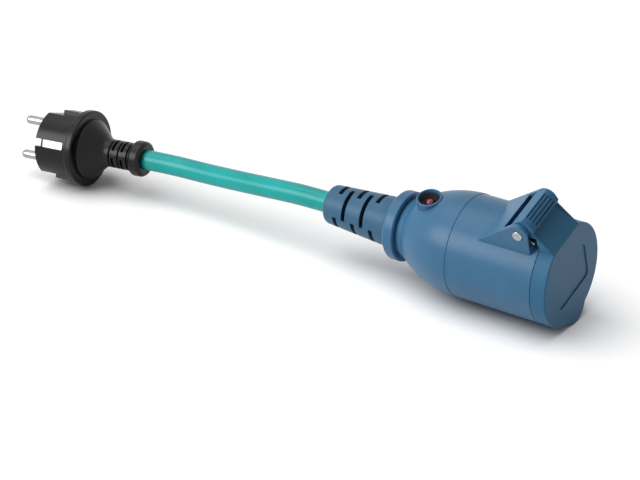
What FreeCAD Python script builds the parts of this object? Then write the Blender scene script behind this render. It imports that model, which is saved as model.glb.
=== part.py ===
import FreeCAD, Part
import math
import os

import Sketcher

# Adapter lead: an earthed two-pin plug, a short stiff cable, and a round three-pole
# coupler socket whose sprung lid hangs on a hinge saddle. Millimetres.
# Row frame: origin at the centre of the contact carrier's front face, +X out of the
# socket along its axis, +Z up. The coupler lies rolled on its keyway ridge.

Vector = FreeCAD.Vector
doc = FreeCAD.newDocument("AdapterLead")
sheet = doc.addObject("Spreadsheet::Sheet", "Sizes")
parts = []


class Size:
    """A number together with the sheet formula that gives it."""

    def __init__(self, value, text):
        self.value = float(value)
        self.text = text

    def __add__(self, other):
        other = as_size(other)
        return Size(self.value + other.value, f"({self.text} + {other.text})")

    def __radd__(self, other):
        return as_size(other) + self

    def __sub__(self, other):
        other = as_size(other)
        return Size(self.value - other.value, f"({self.text} - {other.text})")

    def __rsub__(self, other):
        return as_size(other) - self

    def __mul__(self, other):
        other = as_size(other)
        return Size(self.value * other.value, f"({self.text} * {other.text})")

    def __rmul__(self, other):
        return as_size(other) * self

    def __truediv__(self, other):
        other = as_size(other)
        return Size(self.value / other.value, f"({self.text} / {other.text})")

    def __neg__(self):
        return as_size(0) - self

    def __float__(self):
        return self.value


def as_size(number):
    """A plain number as a Size, so that both mix in one formula."""
    if isinstance(number, Size):
        return number
    return Size(number, f"({float(number):.9f})")


def size(name, value):
    """One driving dimension: a sheet cell that holds a plain number and has an alias."""
    row = len(sheet.getUsedCells()) // 2 + 1
    sheet.set(f"A{row}", name)
    sheet.set(f"B{row}", str(value))
    sheet.setAlias(f"B{row}", name)
    return Size(value, f"Sizes.{name}")


# Clearances
seat_gap = size("seat_gap", 0.1)
pin_clearance = size("pin_clearance", 0.06)
lid_gap = size("lid_gap", 0.3)
side_gap = size("side_gap", 0.25)

# Coupler shell
barrel_radius = size("barrel_radius", 25.3)
housing_wall = size("housing_wall", 2.8)
mouth_stand = size("mouth_stand", 1.5)
front_length = size("front_length", 45.0)
shroud_depth = size("shroud_depth", 34.0)
ridge_sink = size("ridge_sink", 5.1)
ridge_radius = size("ridge_radius", 9.0)
ridge_wall = size("ridge_wall", 2.5)
ridge_taper = size("ridge_taper", 6.5)
lip_length = size("lip_length", 2.5)
lip_wall = size("lip_wall", 1.0)
rib_width = size("rib_width", 2.0)
rib_step = size("rib_step", 2.0)
edge_round = size("edge_round", 0.6)
coupler_roll = size("coupler_roll", 19.24)

# Lid and hinge
lid_depth = size("lid_depth", 8.0)
lid_skirt = size("lid_skirt", 1.3)
lid_face = size("lid_face", 2.2)
lid_edge_round = size("lid_edge_round", 0.6)
hinge_back = size("hinge_back", 6.9)
hinge_stand = size("hinge_stand", 5.9)
saddle_share = size("saddle_share", 1.13)
cheek_wall = size("cheek_wall", 2.4)
cheek_radius = size("cheek_radius", 5.3)
cheek_skin = size("cheek_skin", 0.8)
saddle_start = size("saddle_start", 30.5)
saddle_sink = size("saddle_sink", 4.7)
knuckle_radius = size("knuckle_radius", 5.3)
grip_radius = size("grip_radius", 7.8)
grip_depth = size("grip_depth", 0.9)
grip_ridge = size("grip_ridge", 0.8)
trench_gap = size("trench_gap", 0.4)
hinge_pin_radius = size("hinge_pin_radius", 1.6)
pin_head_radius = size("pin_head_radius", 2.5)
pin_head_proud = size("pin_head_proud", 0.5)
arm_rail = size("arm_rail", 1.1)
panel_sunk = size("panel_sunk", 0.6)
face_field_width = size("face_field_width", 28.0)
face_field_height = size("face_field_height", 20.0)
face_field_depth = size("face_field_depth", 0.5)
face_field_corner = size("face_field_corner", 3.0)
gasket_width = size("gasket_width", 3.4)
spring_wire = size("spring_wire", 1.0)
spring_mean_radius = size("spring_mean_radius", 2.9)
spring_pitch = size("spring_pitch", 1.5)
spring_inset = size("spring_inset", 1.1)
spring_leg = size("spring_leg", 8.0)
spring_end_leg = size("spring_end_leg", 1.6)

# Contacts
shroud_gap = size("shroud_gap", 4.5)
flange_thickness = size("flange_thickness", 3.0)
contact_circle = size("contact_circle", 10.5)
carrier_hub = size("carrier_hub", 2.6)
power_bore = size("power_bore", 2.5)
earth_bore = size("earth_bore", 3.5)
contact_wall = size("contact_wall", 1.1)
contact_set_back = size("contact_set_back", 4.0)
contact_depth = size("contact_depth", 22.0)
terminal_length = size("terminal_length", 10.0)
terminal_step = size("terminal_step", 0.8)
screw_radius = size("screw_radius", 1.25)
entry_clearance = size("entry_clearance", 0.4)

# Rear housing, lamp and gland
rear_length = size("rear_length", 30.9)
rear_narrowing = size("rear_narrowing", 9.6)
rear_curve = size("rear_curve", 52.0)
rear_proud = size("rear_proud", 0.25)
neck_radius = size("neck_radius", 14.8)
thread_radius = size("thread_radius", 12.5)
spigot_length = size("spigot_length", 4.3)
spigot_wall = size("spigot_wall", 2.4)
seal_section = size("seal_section", 0.9)
lamp_from_end = size("lamp_from_end", 10.8)
cup_radius = size("cup_radius", 6.3)
cup_sink = size("cup_sink", 1.1)
cup_depth = size("cup_depth", 4.2)
cup_mouth = size("cup_mouth", 5.3)
lamp_radius = size("lamp_radius", 2.5)
board_depth = size("board_depth", 6.1)
board_thickness = size("board_thickness", 1.2)
gland_bore = size("gland_bore", 9.0)
gland_thread = size("gland_thread", 4.2)
nut_radius = size("nut_radius", 17.4)
nut_length = size("nut_length", 6.0)
nut_tail = size("nut_tail", 7.3)
grommet_length = size("grommet_length", 3.8)

# Cable and boot
cable_radius = size("cable_radius", 5.4)
core_radius = size("core_radius", 1.8)
core_lay = size("core_lay", 2.15)
boot_ring_radius = size("boot_ring_radius", 14.2)
boot_ring_width = size("boot_ring_width", 2.6)
boot_front_radius = size("boot_front_radius", 12.6)
boot_rear_radius = size("boot_rear_radius", 9.9)
boot_length = size("boot_length", 40.4)
boot_slot_width = size("boot_slot_width", 2.3)
boot_slot_pitch = size("boot_slot_pitch", 5.6)
boot_slot_start = size("boot_slot_start", 9.1)
boot_slot_floor = size("boot_slot_floor", 6.6)
boot_turn = size("boot_turn", 63.0)
boot_row_turn = size("boot_row_turn", 80.0)
boot_slot_half = size("boot_slot_half", 55.0)
boot_row_half = size("boot_row_half", 48.0)

# Plug
plug_length = size("plug_length", 59.7)
pin_spacing = size("pin_spacing", 19.0)
plug_pin_radius = size("plug_pin_radius", 2.4)
plug_pin_length = size("plug_pin_length", 19.0)
pin_neck_radius = size("pin_neck_radius", 2.2)
pin_collar_radius = size("pin_collar_radius", 2.9)
pin_collar_back = size("pin_collar_back", 2.2)
plug_radius = size("plug_radius", 18.3)
plug_flat = size("plug_flat", 16.0)
plug_front_length = size("plug_front_length", 18.0)
step_radius = size("step_radius", 19.4)
step_width = size("step_width", 2.0)
plug_flange_radius = size("plug_flange_radius", 20.8)
plug_flange_width = size("plug_flange_width", 4.4)
shoulder_radius = size("shoulder_radius", 16.3)
shoulder_width = size("shoulder_width", 1.4)
plug_neck_radius = size("plug_neck_radius", 7.6)
plug_neck_start = size("plug_neck_start", 37.0)
end_ring_radius = size("end_ring_radius", 9.7)
end_ring_width = size("end_ring_width", 7.4)
insert_radius = size("insert_radius", 14.5)
insert_length = size("insert_length", 18.6)
rail_start = size("rail_start", 7.0)
rail_proud = size("rail_proud", 0.3)
rail_width = size("rail_width", 9.0)
clip_width = size("clip_width", 4.0)
clip_front = size("clip_front", 3.9)
notch_length = size("notch_length", 2.4)
clip_thickness = size("clip_thickness", 0.8)
clip_height = size("clip_height", 18.0)
clip_seat_radius = size("clip_seat_radius", 14.2)
plug_slot_width = size("plug_slot_width", 1.5)
plug_slot_pitch = size("plug_slot_pitch", 2.8)
plug_slot_half = size("plug_slot_half", 74.0)
plug_thin_half = size("plug_thin_half", 66.0)


def origin_plane(body, role):
    """One of a body's own origin planes, found by its role."""
    for feature in body.Origin.OriginFeatures:
        if feature.Role == role:
            return feature
    raise ValueError(role)


def new_body(name):
    """A sub-part: its label names its file."""
    body = doc.addObject("PartDesign::Body", name)
    body.Label = name
    return body


def bind(thing, prop, length):
    """Set a property from a Size, as a formula over the sheet."""
    thing.setExpression(prop, as_size(length).text)


def new_sketch(body, name, role, lift=0, along=0):
    """A sketch on an origin plane, moved by lift off it and by along in its own X."""
    sketch = body.newObject("Sketcher::SketchObject", name)
    sketch.AttachmentSupport = (origin_plane(body, role), [""])
    sketch.MapMode = "FlatFace"
    sketch.AttachmentOffset = FreeCAD.Placement(
        Vector(float(along), 0, float(lift)), FreeCAD.Rotation()
    )
    bind(sketch, "AttachmentOffset.Base.z", lift)
    bind(sketch, "AttachmentOffset.Base.x", along)
    return sketch


def fix_point(sketch, geo, pos, x, y):
    """Pin a sketch point to its distances from the sketch origin."""
    for kind, value, axis in (("DistanceX", x, -2), ("DistanceY", y, -1)):
        if not isinstance(value, Size) and value == 0:
            sketch.addConstraint(Sketcher.Constraint("PointOnObject", geo, pos, axis))
            continue
        index = sketch.addConstraint(
            Sketcher.Constraint(kind, -1, 1, geo, pos, float(value))
        )
        if isinstance(value, Size):
            sketch.setExpression(f"Constraints[{index}]", value.text)


def draw_outline(sketch, points, arcs=None):
    """A closed outline. arcs maps a point's number to the radius of the arc that
    leaves it, positive where the arc bulges to the left of the way to the next."""
    arcs = arcs or {}
    first = []
    last = []
    for i, (x, y) in enumerate(points):
        a = Vector(float(x), float(y), 0)
        nx, ny = points[(i + 1) % len(points)]
        b = Vector(float(nx), float(ny), 0)
        if i in arcs:
            radius = abs(float(arcs[i]))
            half = (b - a).Length / 2
            sagitta = radius - math.sqrt(radius * radius - half * half)
            left = Vector(-(b - a).y, (b - a).x, 0).normalize()
            side = 1 if float(arcs[i]) > 0 else -1
            middle = (a + b) * 0.5 + left * (side * sagitta)
            geo = sketch.addGeometry(Part.Arc(a, middle, b))
            swapped = (sketch.getPoint(geo, 1) - a).Length > 1e-6
            first.append((geo, 2 if swapped else 1))
            last.append((geo, 1 if swapped else 2))
            index = sketch.addConstraint(Sketcher.Constraint("Radius", geo, radius))
            if isinstance(arcs[i], Size):
                text = arcs[i].text if side > 0 else f"-{arcs[i].text}"
                sketch.setExpression(f"Constraints[{index}]", text)
        else:
            geo = sketch.addGeometry(Part.LineSegment(a, b))
            first.append((geo, 1))
            last.append((geo, 2))
    for i in range(len(points)):
        after = (i + 1) % len(points)
        sketch.addConstraint(Sketcher.Constraint("Coincident", *last[i], *first[after]))
    for i, (x, y) in enumerate(points):
        fix_point(sketch, *first[i], x, y)


def draw_circle(sketch, x, y, radius):
    """A circle with its centre and radius bound."""
    centre = Vector(float(x), float(y), 0)
    geo = sketch.addGeometry(Part.Circle(centre, Vector(0, 0, 1), float(radius)))
    index = sketch.addConstraint(Sketcher.Constraint("Radius", geo, float(radius)))
    if isinstance(radius, Size):
        sketch.setExpression(f"Constraints[{index}]", radius.text)
    fix_point(sketch, geo, 3, x, y)


def draw_box(sketch, x0, y0, x1, y1):
    """A rectangle between two corners."""
    draw_outline(sketch, [(x0, y0), (x1, y0), (x1, y1), (x0, y1)])


def grow(body, name, kind, sketch, before):
    """Close a feature: recompute it and see that it changed the volume the right way."""
    sketch.Visibility = False
    doc.recompute()
    feature = body.Tip
    change = feature.Shape.Volume - before
    if (kind == "add") != (change > 0) or abs(change) < 1e-3:
        raise RuntimeError(f"{body.Label}.{name} changed the volume by {change:.4f}")
    return feature


def volume_of(body):
    """The body's volume before its next feature."""
    return body.Tip.Shape.Volume if body.Tip else 0.0


def pad(body, name, sketch, length, both_ways=False):
    """Pad a sketch along its normal, or half each way."""
    before = volume_of(body)
    feature = body.newObject("PartDesign::Pad", name)
    feature.Profile = sketch
    bind(feature, "Length", length)
    if both_ways:
        feature.SideType = "Symmetric"
    return grow(body, name, "add", sketch, before)


def pocket(body, name, sketch, length, both_ways=False, forward=False):
    """Cut a sketch against its normal, or along it, or half each way."""
    before = volume_of(body)
    feature = body.newObject("PartDesign::Pocket", name)
    feature.Profile = sketch
    bind(feature, "Length", length)
    feature.Reversed = forward
    if both_ways:
        feature.SideType = "Symmetric"
    return grow(body, name, "cut", sketch, before)


def turn(body, name, sketch, axis="H_Axis"):
    """Revolve a sketch about one of its axes."""
    before = volume_of(body)
    feature = body.newObject("PartDesign::Revolution", name)
    feature.Profile = sketch
    feature.ReferenceAxis = (sketch, [axis])
    feature.Angle = 360
    return grow(body, name, "add", sketch, before)


def groove(body, name, sketch, axis="H_Axis"):
    """Cut a revolved sketch."""
    before = volume_of(body)
    feature = body.newObject("PartDesign::Groove", name)
    feature.Profile = sketch
    feature.ReferenceAxis = (sketch, [axis])
    feature.Angle = 360
    return grow(body, name, "cut", sketch, before)


def ring_edges(body, rings):
    """Names of the circular edges about X at each (x, radius)."""
    names = []
    for number, edge in enumerate(body.Tip.Shape.Edges, 1):
        curve = edge.Curve
        if not isinstance(curve, Part.Circle) or abs(abs(curve.Axis.x) - 1) > 1e-6:
            continue
        centre = curve.Center
        for x, radius in rings:
            off_axis = math.hypot(centre.y, centre.z)
            near = abs(centre.x - float(x)) < 1e-4 and off_axis < 1e-4
            if near and abs(curve.Radius - float(radius)) < 1e-4:
                names.append(f"Edge{number}")
    return names


def fillet(body, name, radius, edges):
    """Round named edges of the body's last feature."""
    if not edges:
        raise RuntimeError(f"{body.Label}.{name} found no edge")
    base = body.Tip
    feature = body.newObject("PartDesign::Fillet", name)
    feature.Base = (base, edges)
    bind(feature, "Radius", radius)
    doc.recompute()
    return feature


def edges_near(body, test):
    """Names of the edges whose middle point passes a test."""
    names = []
    for number, edge in enumerate(body.Tip.Shape.Edges, 1):
        middle = edge.valueAt((edge.FirstParameter + edge.LastParameter) / 2)
        if test(edge, middle):
            names.append(f"Edge{number}")
    return names


# Frames of the two ends
roll_only = FreeCAD.Rotation(Vector(1, 0, 0), float(coupler_roll))
coupler_frame = FreeCAD.Placement(Vector(0, 0, 0), roll_only)


def in_coupler(body, y=0, z=0):
    """Seat a body in the coupler, beside its axis by y and above it by z."""
    offset = FreeCAD.Placement(Vector(0, float(y), float(z)), FreeCAD.Rotation())
    body.Placement = coupler_frame * offset
    doc.recompute()
    parts.append(body)


# Stations along the coupler's axis, from the carrier's face backwards
mouth_x = mouth_stand
seam_x = mouth_stand - front_length
bore_radius = barrel_radius - housing_wall
carrier_radius = bore_radius - shroud_gap
rib_front_x = -shroud_depth
rib_back_x = rib_front_x - rib_width
hinge_x = -hinge_back
hinge_height = barrel_radius + hinge_stand
saddle_foot = barrel_radius - saddle_sink
saddle_width = barrel_radius * saddle_share
lid_back_x = mouth_x + lid_gap
lid_front_x = mouth_x + lid_depth
cheek_gap = saddle_width - 2 * cheek_wall
arm_half = cheek_gap / 2 - side_gap
rear_bore = bore_radius + 0.4
ridge_z = ridge_sink - barrel_radius
ridge_bore = ridge_radius - ridge_wall

# Point on the cheek where the saddle's top slope leaves it, worked out by tangency
slope_run = float(saddle_start) - float(hinge_back)
slope_rise = float(hinge_height) - float(saddle_foot)
slope_reach = math.hypot(slope_run, slope_rise)
slope_angle = math.atan2(slope_rise, slope_run)
slope_angle += math.asin(float(cheek_radius) / slope_reach)
cheek_top_x = hinge_x - cheek_radius * math.sin(slope_angle)
cheek_top_z = hinge_height + cheek_radius * math.cos(slope_angle)


def front_housing():
    """Front half of the shell: barrel, hollow keyway ridge and hinge saddle."""
    body = new_body("front_housing")
    sketch = new_sketch(body, "barrel_circle", "YZ_Plane", seam_x)
    draw_circle(sketch, 0, 0, barrel_radius)
    pad(body, "barrel", sketch, front_length)
    sketch = new_sketch(body, "ridge_circle", "YZ_Plane", seam_x)
    draw_circle(sketch, 0, ridge_z, ridge_radius)
    pad(body, "ridge", sketch, front_length)
    low = ridge_z - ridge_radius
    sketch = new_sketch(body, "ridge_end", "XZ_Plane")
    corner = [
        (seam_x - 1, -barrel_radius - 0.1),
        (seam_x, -barrel_radius - 0.1),
        (seam_x + ridge_taper, low),
        (seam_x + ridge_taper, low - 1),
        (seam_x - 1, low - 1),
    ]
    draw_outline(sketch, corner)
    pocket(body, "ridge_slant", sketch, 3 * ridge_radius, both_ways=True)
    sketch = new_sketch(body, "lip_circle", "YZ_Plane", mouth_x)
    draw_circle(sketch, 0, 0, bore_radius + lip_wall)
    pad(body, "lip", sketch, lip_length)
    sketch = new_sketch(body, "saddle_side", "XZ_Plane")
    side = [
        (-saddle_start, saddle_foot),
        (cheek_top_x, cheek_top_z),
        (hinge_x + cheek_radius, hinge_height),
        (hinge_x + cheek_radius, saddle_foot),
    ]
    draw_outline(sketch, side, {1: cheek_radius})
    pad(body, "saddle", sketch, saddle_width, both_ways=True)
    outer_y = float(saddle_width) / 2
    above = float(barrel_radius) + 0.2

    def saddle_rim(edge, middle):
        return abs(abs(middle.y) - outer_y) < 1e-4 and middle.z > above

    fillet(body, "saddle_round", edge_round, edges_near(body, saddle_rim))
    sketch = new_sketch(body, "trench_side", "XZ_Plane")
    back = hinge_x - grip_radius - trench_gap
    floor = barrel_radius + 0.1
    draw_box(sketch, back, floor, mouth_x + 3, hinge_height + 3 * cheek_radius)
    pocket(body, "trench", sketch, cheek_gap, both_ways=True)
    sketch = new_sketch(body, "pin_hole", "XZ_Plane")
    draw_circle(sketch, hinge_x, hinge_height, hinge_pin_radius + seat_gap / 2)
    pocket(body, "pin_bore", sketch, saddle_width + 2, both_ways=True)
    # Pin head seats outside, and the cheeks thinned from inside in front of the pin
    relief_back = hinge_x + hinge_pin_radius + 1.0
    relief_front = hinge_x + cheek_radius + 1
    relief = [
        (relief_back, floor),
        (relief_front, floor),
        (relief_front, hinge_height + 1.6),
        (relief_back + 1.2, hinge_height + 1.6),
        (relief_back, hinge_height - 0.8),
    ]
    relief_depth = cheek_wall - cheek_skin
    for side_name, way in (("near", 1), ("far", -1)):
        sketch = new_sketch(
            body, f"{side_name}_head", "XZ_Plane", way * (saddle_width / 2 - 0.4)
        )
        draw_circle(sketch, hinge_x, hinge_height, pin_head_radius + seat_gap)
        pocket(body, f"{side_name}_seat", sketch, 1, forward=way > 0)
        sketch = new_sketch(
            body, f"{side_name}_relief_side", "XZ_Plane", way * cheek_gap / 2
        )
        draw_outline(sketch, relief)
        pocket(body, f"{side_name}_relief", sketch, relief_depth, forward=way > 0)
    lip_x = mouth_x + lip_length
    sketch = new_sketch(body, "bore_circle", "YZ_Plane", lip_x)
    draw_circle(sketch, 0, 0, bore_radius)
    pocket(body, "bore", sketch, lip_x - rib_front_x)
    sketch = new_sketch(body, "keyway_circle", "YZ_Plane", lip_x)
    draw_circle(sketch, 0, ridge_z, ridge_bore)
    pocket(body, "keyway", sketch, lip_x - rib_front_x - 1)
    sketch = new_sketch(body, "rib_circle", "YZ_Plane", rib_front_x)
    draw_circle(sketch, 0, 0, bore_radius - rib_step)
    pocket(body, "rib_opening", sketch, rib_width)
    sketch = new_sketch(body, "rear_circle", "YZ_Plane", rib_back_x)
    draw_circle(sketch, 0, 0, rear_bore)
    pocket(body, "rear_bore", sketch, rib_back_x - seam_x)
    in_coupler(body)


# Lid: the profile of its hinge arm in the hinge's own plane
def hinge_polar(radius, degrees):
    """A point about the hinge axis, in the coupler's side plane."""
    angle = math.radians(degrees)
    x = hinge_x + radius * math.cos(angle)
    z = hinge_height + radius * math.sin(angle)
    return (x, z)


def lid():
    """Sprung cover: cap with a skirt, a hinge arm with a ridged finger grip, and a
    plain sunk field on its face."""
    body = new_body("lid")
    skirt_length = lid_front_x - lid_back_x
    sketch = new_sketch(body, "cap_circle", "YZ_Plane", lid_back_x)
    draw_circle(sketch, 0, 0, barrel_radius)
    pad(body, "cap", sketch, skirt_length)
    sketch = new_sketch(body, "nose_circle", "YZ_Plane", lid_back_x)
    draw_circle(sketch, 0, ridge_z, ridge_radius)
    pad(body, "nose", sketch, skirt_length)
    half = float(lid_front_x)

    def face_rim(edge, middle):
        return abs(middle.x - half) < 1e-4 and isinstance(edge.Curve, Part.Circle)

    fillet(body, "face_round", lid_edge_round, edges_near(body, face_rim))
    # Hinge arm: slope, finger grip and knuckle in one outline
    slope_foot = (lid_front_x - 0.4, barrel_radius - 2.6)
    grip_low = hinge_polar(grip_radius, 22)
    grip_high = hinge_polar(grip_radius, 76)
    knuckle_high = hinge_polar(knuckle_radius, 114)
    knuckle_back = hinge_polar(knuckle_radius, 210)
    knuckle_low = hinge_polar(knuckle_radius, 332)
    slope_top = (hinge_x + 6.6, hinge_height + 0.9)
    under = (mouth_x - 0.2, barrel_radius + 0.45)
    inner = (lid_back_x, barrel_radius + 0.3)
    outline = [
        slope_foot,
        slope_top,
        grip_low,
        grip_high,
        knuckle_high,
        knuckle_back,
        knuckle_low,
        under,
        inner,
        (lid_back_x, barrel_radius - 3.4),
        (lid_front_x - lid_face, barrel_radius - 3.4),
    ]
    sketch = new_sketch(body, "arm_side", "XZ_Plane")
    draw_outline(
        sketch, outline, {2: -grip_radius, 4: -knuckle_radius, 5: -knuckle_radius}
    )
    pad(body, "arm", sketch, 2 * arm_half, both_ways=True)
    # The panel between the arm's side rails lies a little lower
    sketch = new_sketch(body, "panel_side", "XZ_Plane")
    sunk = [
        (lid_front_x + 0.6, barrel_radius - 2.6 - panel_sunk),
        (lid_front_x + 0.6, barrel_radius + 3),
        (hinge_x + 9.5, hinge_height + 1.5),
        (slope_top[0] + 0.2, slope_top[1] + 0.2),
        (slope_top[0] - 0.45, slope_top[1] - 0.45),
    ]
    draw_outline(sketch, sunk)
    pocket(body, "panel", sketch, 2 * (arm_half - arm_rail), both_ways=True)
    # Sunk block of the finger grip, with three rounded ridges across it
    sketch = new_sketch(body, "grip_side", "XZ_Plane")
    grip_floor = grip_radius - grip_depth
    grip_block = [
        hinge_polar(grip_floor, 28),
        hinge_polar(grip_radius + 1, 28),
        hinge_polar(grip_radius + 1, 72),
        hinge_polar(grip_floor, 72),
    ]
    draw_outline(sketch, grip_block, {1: -(grip_radius + 1), 3: grip_floor})
    pocket(body, "grip_block", sketch, 2 * (arm_half - 3.2), both_ways=True)
    for number, angle in enumerate((36, 50, 64), 1):
        sketch = new_sketch(body, f"ridge_{number}_side", "XZ_Plane")
        draw_circle(
            sketch, *hinge_polar(grip_radius - grip_ridge - 0.1, angle), grip_ridge
        )
        pad(body, f"ridge_{number}", sketch, 2 * (arm_half - 3.1), both_ways=True)
    # Hollow of the cap
    sketch = new_sketch(body, "hollow_circle", "YZ_Plane", lid_back_x)
    draw_circle(sketch, 0, 0, barrel_radius - lid_skirt)
    pocket(body, "hollow", sketch, skirt_length - lid_face, forward=True)
    sketch = new_sketch(body, "nose_hollow_circle", "YZ_Plane", lid_back_x)
    draw_circle(sketch, 0, ridge_z, ridge_radius - lid_skirt)
    pocket(body, "nose_hollow", sketch, skirt_length - lid_face, forward=True)
    # Hollow under the arm, between its side walls
    sketch = new_sketch(body, "arm_hollow_side", "XZ_Plane")
    hollow = [
        (lid_back_x + 0.9, barrel_radius + 0.2),
        (hinge_x + 7.0, hinge_height - 3.9),
        (hinge_x + 5.2, hinge_height - 1.4),
        (hinge_x + 3.6, hinge_height - 5.0),
        (lid_back_x - 0.9, barrel_radius - 1.0),
        (lid_back_x + 0.9, barrel_radius - 1.0),
    ]
    draw_outline(sketch, hollow)
    pocket(body, "arm_hollow", sketch, 2 * (arm_half - 1.6), both_ways=True)
    # Pin bore, spring chamber at the near end, and the gap for the spring's leg
    sketch = new_sketch(body, "pin_hole", "XZ_Plane")
    draw_circle(sketch, hinge_x, hinge_height, hinge_pin_radius + pin_clearance)
    pocket(body, "pin_bore", sketch, saddle_width, both_ways=True)
    sketch = new_sketch(body, "chamber_circle", "XZ_Plane", arm_half + 0.2)
    draw_circle(sketch, hinge_x, hinge_height, spring_mean_radius + spring_wire)
    pocket(body, "chamber", sketch, 7.6)
    sketch = new_sketch(body, "leg_slot_side", "XZ_Plane", arm_half + 0.2)
    draw_box(
        sketch, hinge_x - 8, barrel_radius - 2, lid_back_x - 0.6, hinge_height - 1.4
    )
    pocket(body, "leg_slot", sketch, 2.2)
    # Plain field on the face
    sketch = new_sketch(body, "field_outline", "YZ_Plane", lid_front_x)
    wide = face_field_width / 2
    low = -face_field_height / 2 - 1
    high = face_field_height / 2 - 1
    soft = face_field_corner
    field = [
        (-wide + soft, low),
        (wide - soft, low),
        (wide, low + soft),
        (wide, high - soft),
        (wide - soft, high),
        (-wide + soft, high),
        (-wide, high - soft),
        (-wide, low + soft),
    ]
    draw_outline(sketch, field, {1: -soft, 3: -soft, 5: -soft, 7: -soft})
    pocket(body, "field", sketch, face_field_depth)
    in_coupler(body)


def turned_body(name, points, arcs=None):
    """A body of revolution about X from an outline of (x, radius) points."""
    body = new_body(name)
    sketch = new_sketch(body, "half_section", "XY_Plane")
    draw_outline(sketch, points, arcs)
    turn(body, "turned", sketch)
    return body


def tube_points(x0, x1, inner, outer):
    """Half section of a plain tube."""
    return [(x0, inner), (x1, inner), (x1, outer), (x0, outer)]


def lid_gasket():
    """Flat rubber ring fixed inside the cap, against the housing's lip."""
    inside_x = lid_front_x - lid_face
    outer = barrel_radius - lid_skirt - seat_gap
    lip_x = mouth_x + lip_length
    ring = tube_points(lip_x + lid_gap, inside_x, outer - gasket_width, outer)
    in_coupler(turned_body("lid_gasket", ring))


def hinge_pin():
    """Steel hinge pin with two riveted heads, each with a centre dimple."""
    body = new_body("hinge_pin")
    reach = saddle_width / 2
    head_back = reach - 0.4 + seat_gap / 2
    head_front = head_back + 0.4 + pin_head_proud
    outline = [
        (0, -head_front + 0.5),
        (0.9, -head_front),
        (pin_head_radius - 0.2, -head_front),
        (pin_head_radius, -head_front + 0.3),
        (pin_head_radius, -head_back),
        (hinge_pin_radius, -head_back),
        (hinge_pin_radius, head_back),
        (pin_head_radius, head_back),
        (pin_head_radius, head_front - 0.3),
        (pin_head_radius - 0.2, head_front),
        (0.9, head_front),
        (0, head_front - 0.5),
    ]
    sketch = new_sketch(body, "half_section", "XY_Plane")
    draw_outline(sketch, outline)
    turn(body, "turned", sketch, "V_Axis")
    offset = FreeCAD.Placement(
        Vector(float(hinge_x), 0, float(hinge_height)), FreeCAD.Rotation()
    )
    body.Placement = coupler_frame * offset
    doc.recompute()
    parts.append(body)


def corner_arc(start, corner, end):
    """The arc that leaves start and enters end along the sides of their corner."""
    width = (end - start).Length / 2
    weight = width / (corner - start).Length
    middle = (start + corner * (2 * weight) + end) * (1 / (2 + 2 * weight))
    return Part.Arc(start, middle, end).toShape()


def route_path(points, name):
    """Straight runs joined by tangent arcs. Prints each arc's radius."""
    points = [Vector(*[float(c) for c in p]) for p in points]
    edges = []
    at = points[0]
    for i in range(1, len(points) - 1):
        before = points[i] - points[i - 1]
        after = points[i + 1] - points[i]
        cut = 0.45 * min(before.Length, after.Length)
        turn_angle = before.getAngle(after)
        radius = cut / math.tan(turn_angle / 2)
        print(f"{name}: point {i} turns {math.degrees(turn_angle):.1f}, radius {radius:.1f}")
        start = points[i] - before.normalize() * cut
        end = points[i] + after.normalize() * cut
        edges.append(Part.LineSegment(at, start).toShape())
        edges.append(corner_arc(start, points[i], end))
        at = end
    edges.append(Part.LineSegment(at, points[-1]).toShape())
    return edges


def sweep(edges, radius):
    """A round section along a path of tangent edges."""
    path = Part.Wire(edges)
    start = edges[0].valueAt(edges[0].FirstParameter)
    heading = edges[0].tangentAt(edges[0].FirstParameter)
    circle = Part.Wire(Part.Circle(start, heading, float(radius)).toShape())
    tube = path.makePipeShell([circle], True, False)
    expected = math.pi * float(radius) ** 2 * path.Length
    if abs(tube.Volume - expected) > 0.02 * expected:
        raise RuntimeError(f"swept volume {tube.Volume:.1f}, expected {expected:.1f}")
    return tube


def feature_from(name, shape, frame):
    """A sub-part whose shape is worked out above from the sheet's sizes."""
    thing = doc.addObject("Part::Feature", name)
    thing.Label = name
    thing.Shape = shape
    thing.Placement = frame
    parts.append(thing)
    return thing


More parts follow.
